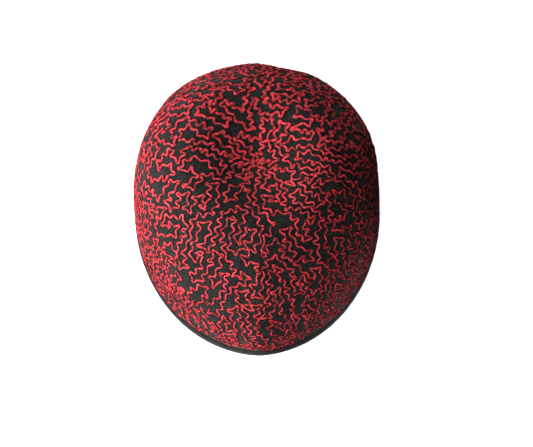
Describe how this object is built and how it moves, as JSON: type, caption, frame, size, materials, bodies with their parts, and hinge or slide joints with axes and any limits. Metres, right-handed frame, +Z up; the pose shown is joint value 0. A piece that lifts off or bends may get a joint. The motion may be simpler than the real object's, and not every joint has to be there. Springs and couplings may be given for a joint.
{
  "type": "embroidered velvet cap",
  "caption": "Soft, seamless dome cap of dark velvet with a folded cloth binding round its rim and a dent in its top, covered all over in meandering chain stitch.",
  "frame": {"origin": "middle of the cap's footprint, on the surface that the rim rests on", "axes": "+Z up out of the crown, -Y towards the wearer's face, +X to the wearer's left"},
  "size_m": [0.168, 0.2066, 0.0914],
  "materials": {
    "velvet": "black cotton velvet with a short soft pile",
    "binding_cloth": "black cloth tape, matt",
    "silk_thread": "twisted red silk thread, soft gloss"
  },
  "bodies": {
    "root": {"crown": "velvet", "binding": "binding_cloth"}
  },
  "joints": []
}
